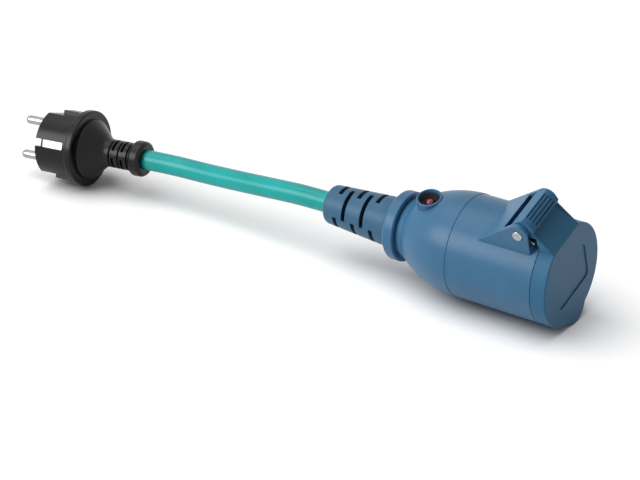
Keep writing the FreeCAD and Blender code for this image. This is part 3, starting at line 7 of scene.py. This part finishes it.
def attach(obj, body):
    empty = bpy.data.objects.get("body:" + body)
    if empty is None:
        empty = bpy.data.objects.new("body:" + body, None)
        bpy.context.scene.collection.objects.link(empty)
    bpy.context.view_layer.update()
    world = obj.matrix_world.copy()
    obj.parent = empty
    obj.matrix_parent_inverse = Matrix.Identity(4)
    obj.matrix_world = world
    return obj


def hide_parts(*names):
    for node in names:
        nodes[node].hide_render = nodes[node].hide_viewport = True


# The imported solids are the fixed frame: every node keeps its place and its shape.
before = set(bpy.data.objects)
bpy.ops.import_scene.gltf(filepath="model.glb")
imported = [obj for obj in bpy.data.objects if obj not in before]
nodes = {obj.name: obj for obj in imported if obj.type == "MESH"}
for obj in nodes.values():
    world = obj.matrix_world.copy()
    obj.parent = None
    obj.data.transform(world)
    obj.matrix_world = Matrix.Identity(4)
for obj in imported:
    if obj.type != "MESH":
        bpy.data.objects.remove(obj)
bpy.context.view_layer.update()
bpy.ops.object.select_all(action="DESELECT")
scene = bpy.context.scene
scene.view_settings.view_transform = "Standard"
MM = 0.001

# Camera: a long lens 0.9 m away, from the coupler's end and a quarter above the table,
# solved from the adapter's own circles and edges.
LOOK_AT = Vector((-0.13249, 0.0, -0.02236))
VIEW_BACK = Vector((0.5240, -0.7298, 0.4391)).normalized()
VIEW_DISTANCE = 0.8976
SENSOR_WIDTH_MM = 36.0
LENS_MM = 99.92
camera_data = bpy.data.cameras.new("camera")
camera_data.sensor_width = SENSOR_WIDTH_MM
camera_data.lens = LENS_MM
camera_data.clip_start = 0.05
camera_data.clip_end = 20.0
camera = bpy.data.objects.new("camera", camera_data)
scene.collection.objects.link(camera)
camera.location = LOOK_AT + VIEW_BACK * VIEW_DISTANCE
camera.rotation_mode = "QUATERNION"
camera.rotation_quaternion = (-VIEW_BACK).to_track_quat("-Z", "Y")
scene.camera = camera

# Cable: a round three-core lead in a smooth teal polyurethane jacket, 10.8 mm thick.
# The jacket is drawn over the cores through a round die in one pass, and its two ends
# are moulded into the plug and clamped in the coupler.
CABLE_EXIT_X = -124.7
CABLE_RADIUS = 5.4
CABLE_ROUTE = [
    (0, 0, 0),
    (-17, 0, 0),
    (-38, 0.4, -1.8),
    (-62, 1.2, -4.0),
    (-86, 1.65, -5.7),
    (-104.2, 0.85, -5.9),
    (-120.3, -1.7, -6.1),
]
curve = bpy.data.curves.new("cable_jacket", "CURVE")
curve.dimensions = "3D"
curve.bevel_depth = CABLE_RADIUS * MM
curve.bevel_resolution = 10
curve.resolution_u = 16
curve.use_fill_caps = True
spline = curve.splines.new("NURBS")
spline.points.add(len(CABLE_ROUTE) - 1)
for point, (x, y, z) in zip(spline.points, CABLE_ROUTE):
    point.co = ((CABLE_EXIT_X + x) * MM, y * MM, z * MM, 1.0)
spline.order_u = 3
spline.use_endpoint_u = True
cable = bpy.data.objects.new("cable_jacket", curve)
scene.collection.objects.link(cable)


def linear_colour(hex_text, alpha=1.0):
    """An sRGB hex colour as the linear values that a shader takes."""
    channels = [int(hex_text[i : i + 2], 16) / 255 for i in (1, 3, 5)]
    linear = [
        c / 12.92 if c <= 0.04045 else ((c + 0.055) / 1.055) ** 2.4 for c in channels
    ]
    return (*linear, alpha)


def add_node(tree, kind, links=None, values=None, **settings):
    """Adds a shader node, sets its properties and input values, and links its inputs."""
    node = tree.nodes.new(kind)
    for name, value in settings.items():
        setattr(node, name, value)
    for name, value in (values or {}).items():
        node.inputs[name].default_value = value
    for name, socket in (links or {}).items():
        tree.links.new(socket, node.inputs[name])
    return node


def empty_material(name):
    """A material whose tree is empty, with its tree."""
    material = bpy.data.materials.new(name)
    material.use_nodes = True
    material.node_tree.nodes.clear()
    return material, material.node_tree


# The drawn jacket: a soft shine, slow clouds in the teal, and faint lines left
# lengthwise by the die. The real lines are hair-fine, so they are drawn at 1 mm.
JACKET_CLOUD = 17.0
DIE_LINE = 1.0
DIE_LINE_DEPTH = 0.06
jacket, tree = empty_material("drawn_teal_polyurethane")
place = add_node(tree, "ShaderNodeTexCoord")
cloud = add_node(
    tree,
    "ShaderNodeTexNoise",
    {"Vector": place.outputs["Object"]},
    {"Scale": 1.0 / (JACKET_CLOUD * MM), "Detail": 3.0},
)
tint = add_node(tree, "ShaderNodeValToRGB", {"Fac": cloud.outputs["Fac"]})
tint.color_ramp.elements[0].position = 0.35
tint.color_ramp.elements[0].color = linear_colour("#0AAAA6")
tint.color_ramp.elements[1].position = 0.65
tint.color_ramp.elements[1].color = linear_colour("#10B6B2")
stretch = add_node(
    tree,
    "ShaderNodeMapping",
    {"Vector": place.outputs["Object"]},
    {"Scale": (0.02, 1.0, 1.0)},
)
lines = add_node(
    tree,
    "ShaderNodeTexNoise",
    {"Vector": stretch.outputs["Vector"]},
    {"Scale": 1.0 / (DIE_LINE * MM), "Detail": 2.0},
)
bump = add_node(
    tree,
    "ShaderNodeBump",
    {"Height": lines.outputs["Fac"]},
    {"Strength": 0.3, "Distance": DIE_LINE_DEPTH * MM},
)
surface = add_node(
    tree,
    "ShaderNodeBsdfPrincipled",
    {"Base Color": tint.outputs["Color"], "Normal": bump.outputs["Normal"]},
    {"Roughness": 0.28, "IOR": 1.5, "Specular IOR Level": 0.3},
)
add_node(tree, "ShaderNodeOutputMaterial", {"Surface": surface.outputs["BSDF"]})
curve.materials.append(jacket)

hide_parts("cable")
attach(cable, "housing")

# Table top: a sheet of matt white paper, lit to plain white for the eye and in gloss
# and glass. It throws only about half of its light back on the adapter, and its own
# faint glow fades where the adapter nearly touches it, so that the shadow closes up.
TABLE_SIZE = 6.0
ADAPTER_MIDDLE = Vector((-0.13, 0.0, 0.0))
FLOOR_Z = -28.08
PAPER_WHITE = 0.86
THROWN_BACK = 0.45
PAPER_GLOW = 0.12
CONTACT_REACH = 60.0
bpy.ops.mesh.primitive_plane_add(
    size=TABLE_SIZE, location=(ADAPTER_MIDDLE.x, ADAPTER_MIDDLE.y, FLOOR_Z * MM)
)
floor = bpy.context.active_object
floor.name = "table_top"
paper, tree = empty_material("matt_white_paper")


def seen_share(tree):
    """One for a ray that is seen, mirrored or passed by glass, and nought for light."""
    ray = add_node(tree, "ShaderNodeLightPath")
    plain = add_node(
        tree,
        "ShaderNodeMath",
        {0: ray.outputs["Is Camera Ray"], 1: ray.outputs["Is Glossy Ray"]},
        operation="MAXIMUM",
    )
    seen = add_node(
        tree,
        "ShaderNodeMath",
        {0: plain.outputs[0], 1: ray.outputs["Is Transmission Ray"]},
        operation="MAXIMUM",
    )
    return seen.outputs[0]


seen = seen_share(tree)
shade = add_node(
    tree,
    "ShaderNodeMapRange",
    {"Value": seen},
    {"To Min": THROWN_BACK, "To Max": PAPER_WHITE},
)
diffuse = add_node(tree, "ShaderNodeBsdfDiffuse", {"Color": shade.outputs["Result"]})
openness = add_node(
    tree,
    "ShaderNodeAmbientOcclusion",
    values={"Distance": CONTACT_REACH * MM},
    samples=8,
)
open_glow = add_node(
    tree,
    "ShaderNodeMath",
    {0: openness.outputs["AO"]},
    {1: PAPER_GLOW},
    operation="MULTIPLY",
)
glow_strength = add_node(
    tree,
    "ShaderNodeMath",
    {0: seen, 1: open_glow.outputs[0]},
    operation="MULTIPLY",
)
glow = add_node(
    tree,
    "ShaderNodeEmission",
    {"Strength": glow_strength.outputs[0]},
    {"Color": (1.0, 1.0, 1.0, 1.0)},
)
both = add_node(
    tree, "ShaderNodeAddShader", {0: diffuse.outputs["BSDF"], 1: glow.outputs[0]}
)
add_node(tree, "ShaderNodeOutputMaterial", {"Surface": both.outputs[0]})
floor.data.materials.append(paper)

# Studio: a dim even room that is white where it is seen or mirrored. A wide even light
# from above and left reaches the table alone and casts the soft shadow. A softbox low
# on the left lays the long sheen along the near side, and a weak one overhead fills
# the tops.
ROOM_LIGHT = 0.2
ROOM_WHITE = 1.0
world = bpy.data.worlds.new("studio")
scene.world = world
world.use_nodes = True
tree = world.node_tree
tree.nodes.clear()
brightness = add_node(
    tree,
    "ShaderNodeMapRange",
    {"Value": seen_share(tree)},
    {"To Min": ROOM_LIGHT, "To Max": ROOM_WHITE},
)
room = add_node(
    tree,
    "ShaderNodeBackground",
    {"Strength": brightness.outputs["Result"]},
    {"Color": (1.0, 1.0, 1.0, 1.0)},
)
add_node(tree, "ShaderNodeOutputWorld", {"Surface": room.outputs[0]})


def studio_light(name, data, place, table_only):
    """A light that faces the adapter, and reaches the table alone or all but the table.
    The linked collection holds the table, and its link state says which of the two."""
    lamp = bpy.data.objects.new(name, data)
    scene.collection.objects.link(lamp)
    lamp.location = place
    lamp.rotation_mode = "QUATERNION"
    heading = ADAPTER_MIDDLE - Vector(place)
    lamp.rotation_quaternion = heading.to_track_quat("-Z", "Y")
    reach = bpy.data.collections.new(f"{name}_reach")
    reach.objects.link(floor)
    state = "INCLUDE" if table_only else "EXCLUDE"
    reach.collection_objects[0].light_linking.link_state = state
    lamp.light_linking.receiver_collection = reach


def softbox(name, place, width, height, watts):
    """A rectangular studio light for the adapter, sized in metres."""
    box = bpy.data.lights.new(name, "AREA")
    box.shape = "RECTANGLE"
    box.size = width
    box.size_y = height
    box.energy = watts
    studio_light(name, box, place, table_only=False)


table_light = bpy.data.lights.new("table_light", "SUN")
table_light.angle = math.radians(74)
table_light.energy = 3.4
studio_light("table_light", table_light, (-0.5, -0.36, 1.0), table_only=True)
softbox("left_box", (-0.75, -0.95, 0.55), 0.7, 0.7, 9.5)
softbox("overhead_box", (-0.5, -0.1, 1.0), 0.9, 0.7, 3.5)


# Plug moulding: black rubber, moulded in one shot round the insert and the cable's
# end. Its flange is the finger stop, and the slots in its neck let it bend. The
# mould was spark-eroded, so the skin is finely grained and only half matt.
MOULD_CLOUD = 18.0
PAINTED_SHADE_REACH = 4.0
MOULDED_EDGE = 0.3


def moulded(name, low, high, roughness, specular, grain_mm, depth_mm, shade=0.9):
    """Moulded plastic or rubber: two close colours in slow clouds, painted shade that
    darkens them by the share shade in slots, recesses and joints where shade falls, a
    fine grain, and edges rounded as a mould leaves them. The real grain is about 0.1 mm,
    so it is drawn coarser to show."""
    material, tree = empty_material(name)
    place = add_node(tree, "ShaderNodeTexCoord")
    cloud = add_node(
        tree,
        "ShaderNodeTexNoise",
        {"Vector": place.outputs["Object"]},
        {"Scale": 1.0 / (MOULD_CLOUD * MM), "Detail": 4.0},
    )
    tint = add_node(tree, "ShaderNodeValToRGB", {"Fac": cloud.outputs["Fac"]})
    tint.color_ramp.elements[0].position = 0.3
    tint.color_ramp.elements[0].color = linear_colour(low)
    tint.color_ramp.elements[1].position = 0.7
    tint.color_ramp.elements[1].color = linear_colour(high)
    # Painted shade: ambient occlusion darkens the colour in slots, recesses and joints,
    # where shade falls, by the share shade.
    painted_crevice_shade = add_node(
        tree,
        "ShaderNodeAmbientOcclusion",
        {"Color": tint.outputs["Color"]},
        {"Distance": PAINTED_SHADE_REACH * MM},
        samples=4,
        only_local=True,
    )
    shaded = add_node(
        tree,
        "ShaderNodeMixRGB",
        {"Color1": tint.outputs["Color"], "Color2": painted_crevice_shade.outputs["Color"]},
        {"Fac": shade},
    )
    grain = add_node(
        tree,
        "ShaderNodeTexNoise",
        {"Vector": place.outputs["Object"]},
        {"Scale": 1.0 / (grain_mm * MM), "Detail": 2.0, "Roughness": 0.6},
    )
    rough = add_node(
        tree,
        "ShaderNodeMapRange",
        {"Value": cloud.outputs["Fac"]},
        {"To Min": roughness - 0.05, "To Max": roughness + 0.05},
    )
    edge = add_node(
        tree, "ShaderNodeBevel", values={"Radius": MOULDED_EDGE * MM}, samples=4
    )
    bump = add_node(
        tree,
        "ShaderNodeBump",
        {"Height": grain.outputs["Fac"], "Normal": edge.outputs["Normal"]},
        {"Strength": 0.6, "Distance": depth_mm * MM},
    )
    surface = add_node(
        tree,
        "ShaderNodeBsdfPrincipled",
        {
            "Base Color": shaded.outputs["Color"],
            "Roughness": rough.outputs["Result"],
            "Normal": bump.outputs["Normal"],
        },
        {"IOR": 1.5, "Specular IOR Level": specular},
    )
    add_node(tree, "ShaderNodeOutputMaterial", {"Surface": surface.outputs["BSDF"]})
    return material


def finish_node(name, material):
    """Gives a carried-over solid its material."""
    mesh = nodes[name].data
    mesh.materials.clear()
    mesh.materials.append(material)


# Painted shade darkens its neck slots and joints at the default share.
plug_rubber = moulded(
    "grained_black_rubber", "#080708", "#0E0D0E", 0.3, 0.25, 0.45, 0.018
)
finish_node("plug_body", plug_rubber)

# Plug insert: hard black urea, pressed in a polished die, glossier than the rubber
# that grips it. It holds the pins and the earth parts.
insert_urea = moulded("pressed_black_urea", "#161618", "#202023", 0.3, 0.4, 0.8, 0.008)
finish_node("plug_insert", insert_urea)


# Plug pins and earth strips: brass, turned or stamped, then nickel plated, with fine
# turning lines round the pins. The plate's colour is set darker than real nickel, a
# painted dark reflection that stands for the dark surroundings the metal would mirror.
# The strips lie in the plug's two side channels, where a socket's earth springs press on
# them.
METAL_CLOUD = 4.0
BROKEN_EDGE = 0.15
TOOL_LINE_DEPTH = 0.01


def plated_metal(name, low, high, roughness, line_mm):
    """Bright metal with a little cloudiness, fine tool lines and broken edges."""
    material, tree = empty_material(name)
    place = add_node(tree, "ShaderNodeTexCoord")
    cloud = add_node(
        tree,
        "ShaderNodeTexNoise",
        {"Vector": place.outputs["Object"]},
        {"Scale": 1.0 / (METAL_CLOUD * MM), "Detail": 3.0},
    )
    tint = add_node(tree, "ShaderNodeValToRGB", {"Fac": cloud.outputs["Fac"]})
    tint.color_ramp.elements[0].color = linear_colour(low)
    tint.color_ramp.elements[1].color = linear_colour(high)
    stretch = add_node(
        tree,
        "ShaderNodeMapping",
        {"Vector": place.outputs["Object"]},
        {"Scale": (1.0, 0.15, 0.15)},
    )
    lines = add_node(
        tree,
        "ShaderNodeTexNoise",
        {"Vector": stretch.outputs["Vector"]},
        {"Scale": 1.0 / (line_mm * MM), "Detail": 2.0},
    )
    edge = add_node(
        tree, "ShaderNodeBevel", values={"Radius": BROKEN_EDGE * MM}, samples=4
    )
    bump = add_node(
        tree,
        "ShaderNodeBump",
        {"Height": lines.outputs["Fac"], "Normal": edge.outputs["Normal"]},
        {"Strength": 0.2, "Distance": TOOL_LINE_DEPTH * MM},
    )
    surface = add_node(
        tree,
        "ShaderNodeBsdfPrincipled",
        {"Base Color": tint.outputs["Color"], "Normal": bump.outputs["Normal"]},
        {"Metallic": 1.0, "Roughness": roughness},
    )
    add_node(tree, "ShaderNodeOutputMaterial", {"Surface": surface.outputs["BSDF"]})
    return material


# Painted reflection: this plate colour is darker than real nickel, standing for dark
# surroundings mirrored at the pins' edges.
nickel = plated_metal("darkened_nickel_plate_painted_shade", "#989896", "#ACABA8", 0.2, 0.2)
for name in ("line_pin", "neutral_pin", "earth_clips"):
    finish_node(name, nickel)

# Inside the plug: a bent brass bridge joins both earth strips to the earth socket,
# and two drawn steel screws clamp the cores behind the pins. The brass is warm and
# satin, the steel cooler and a little brighter.
brass = plated_metal("turned_brass", "#B08F45", "#C6A65C", 0.28, 0.25)
steel = plated_metal("bright_drawn_steel", "#A0A2A4", "#B4B6B8", 0.26, 0.3)
for name in ("earth_bridge", "earth_socket"):
    finish_node(name, brass)
finish_node("plug_screws", steel)

# Cores and jacket ends: three copper cores in extruded vinyl, brown, blue and green,
# bared of the teal jacket for the last centimetres at each end. The vinyl is smooth
# and softly glossy.
line_brown = moulded("brown_core_vinyl", "#5E3920", "#6B4226", 0.4, 0.5, 0.5, 0.01)
neutral_blue = moulded("blue_core_vinyl", "#2858A6", "#2F62B4", 0.4, 0.5, 0.5, 0.01)
earth_green = moulded("green_core_vinyl", "#6F9A26", "#86AC30", 0.4, 0.5, 0.5, 0.01)
for name in ("plug_line_core", "line_core"):
    finish_node(name, line_brown)
for name in ("plug_neutral_core", "neutral_core"):
    finish_node(name, neutral_blue)
for name in ("plug_earth_core", "earth_core"):
    finish_node(name, earth_green)
for name in ("plug_cable_end", "cable_end"):
    finish_node(name, jacket)

# Bend boot: a softer, greyer blue elastomer than the shell, so that it flexes. Slots
# cut it into half rings that bend with the cable, and a ring at its wide end seats
# it against the nut.
# Painted shade darkens its slots at the default share, standing for the deep shade
# inside them.
boot_elastomer = moulded(
    "soft_blue_elastomer", "#3C6989", "#467393", 0.4, 0.25, 0.5, 0.018
)
finish_node("bend_boot", boot_elastomer)

# Shell: glass-filled nylon in mid blue, in two halves with a gland nut on the thread
# behind. The spark-eroded mould leaves a fine satin grain, and the fill mottles the
# colour a little.
# Painted shade darkens its seams and joints by a small share.
shell_nylon = moulded(
    "satin_blue_nylon", "#3E7298", "#467AA0", 0.34, 0.3, 0.55, 0.018, shade=0.2
)
for name in ("rear_housing", "front_housing", "gland_nut"):
    finish_node(name, shell_nylon)

# Sealing sleeve, claw and rings: black nitrile rubber round the jacket and at each
# joint, and a dark thermoset claw that the nut closes on the cable.
nitrile = moulded("black_nitrile", "#171718", "#202022", 0.6, 0.3, 0.5, 0.01)
for name in ("lid_gasket", "housing_seal", "cable_grommet"):
    finish_node(name, nitrile)
thermoset = moulded("dark_grey_thermoset", "#2A2C2F", "#34373A", 0.4, 0.4, 0.6, 0.01)
finish_node("clamp_claw", thermoset)

# Lamp: a five millimetre diode, cast in clear red epoxy. It isn't lit, so it looks
# deep red with one bright glint.
LENS_CLOUD = 1.0
lens, tree = empty_material("clear_red_epoxy")
place = add_node(tree, "ShaderNodeTexCoord")
cloud = add_node(
    tree,
    "ShaderNodeTexNoise",
    {"Vector": place.outputs["Object"]},
    {"Scale": 1.0 / (LENS_CLOUD * MM), "Detail": 2.0},
)
tint = add_node(tree, "ShaderNodeValToRGB", {"Fac": cloud.outputs["Fac"]})
tint.color_ramp.elements[0].color = linear_colour("#7C0A1E")
tint.color_ramp.elements[1].color = linear_colour("#9E1028")
surface = add_node(
    tree,
    "ShaderNodeBsdfPrincipled",
    {"Base Color": tint.outputs["Color"]},
    {
        "Roughness": 0.06,
        "IOR": 1.54,
        "Transmission Weight": 0.1,
        "Coat Weight": 0.3,
        "Coat Roughness": 0.05,
    },
)
add_node(tree, "ShaderNodeOutputMaterial", {"Surface": surface.outputs["BSDF"]})
finish_node("indicator_led", lens)

# Lamp holder and cup shade: a moulded ring of black nitrile, pressed into the cup round
# the diode. It lines the whole cup, so the cup is dark inside: the black is partly the
# ring and partly painted shade that stands for the shade under the cup's hood. Its
# outline is spun, each point a radius about the diode and a height above the coupler's
# axis.
LAMP_X = -63.6
COUPLER_ROLL = math.radians(19.24)
HOLDER_AND_SHADE_RADIUS = 4.9
HOLDER_AND_SHADE_STEPS = 64
HOLDER_AND_SHADE_PROFILE = [
    (2.7, 20.05),
    (2.7, 20.9),
    (3.5, 20.9),
    (4.7, 23.0),
    (HOLDER_AND_SHADE_RADIUS, 23.0),
    (4.15, 20.05),
]
bpy.ops.object.select_all(action="DESELECT")
bpy.ops.mesh.primitive_circle_add(
    vertices=len(HOLDER_AND_SHADE_PROFILE), radius=HOLDER_AND_SHADE_RADIUS * MM
)
holder_and_cup_shade = bpy.context.active_object
holder_and_cup_shade.name = "lamp_holder_and_cup_shade"
for vertex, (radius, height) in zip(holder_and_cup_shade.data.vertices, HOLDER_AND_SHADE_PROFILE):
    vertex.co = (radius * MM, 0.0, height * MM)
bpy.ops.object.mode_set(mode="EDIT")
bpy.ops.mesh.select_all(action="SELECT")
bpy.ops.mesh.spin(
    steps=HOLDER_AND_SHADE_STEPS, angle=2 * math.pi, center=(0.0, 0.0, 0.0), axis=(0.0, 0.0, 1.0)
)
bpy.ops.mesh.select_all(action="SELECT")
bpy.ops.mesh.remove_doubles(threshold=0.01 * MM)
bpy.ops.mesh.normals_make_consistent(inside=False)
bpy.ops.object.mode_set(mode="OBJECT")
bpy.ops.object.shade_smooth_by_angle(angle=math.radians(30))
holder_and_cup_shade.data.transform(
    Matrix.Rotation(COUPLER_ROLL, 4, "X") @ Matrix.Translation((LAMP_X * MM, 0.0, 0.0))
)
holder_and_cup_shade.data.materials.append(nitrile)
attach(holder_and_cup_shade, "housing")

# Lamp circuit: a sawn green glass-epoxy board under the diode, with a dipped, lacquered
# dropping resistor and two thin vinyl wires to the terminals.
laminate = moulded("green_laminate", "#28512F", "#30603A", 0.5, 0.5, 0.6, 0.01)
finish_node("led_board", laminate)
lacquer = moulded("tan_lacquer", "#BCA878", "#CBB88A", 0.3, 0.5, 0.5, 0.005)
finish_node("series_resistor", lacquer)
lead_vinyl = moulded("red_lead_vinyl", "#A5332B", "#B53C33", 0.4, 0.5, 0.5, 0.005)
finish_node("led_leads", lead_vinyl)

# Contact block: pressed dark grey thermoset in three thirds, held by a plate behind
# them. The contacts are turned brass, split so that they spring, with steel clamping
# screws.
for name in ("line_carrier", "neutral_carrier", "earth_carrier", "retaining_plate"):
    finish_node(name, thermoset)
for name in ("line_contact", "neutral_contact", "earth_contact"):
    finish_node(name, brass)
finish_node("terminal_screws", steel)

# Lid: the same nylon as the shell, less glossy, and a touch darker as painted shade for
# its shaded faces. Its cap, hinge arm and ridged finger grip are one moulding, with a
# shallow field sunk in its face.
# Painted shade darkens the edges of its sunk field and its grip grooves by a share of
# 0.4.
lid_nylon = moulded(
    "matt_blue_nylon", "#3C7196", "#44799E", 0.36, 0.12, 0.55, 0.018, shade=0.4
)
finish_node("lid", lid_nylon)

# Hinge pin and spring: a bright steel pin with riveted heads, and a coil of drawn
# spring wire round it that keeps the lid shut.
finish_node("hinge_pin", steel)
finish_node("lid_spring", steel)
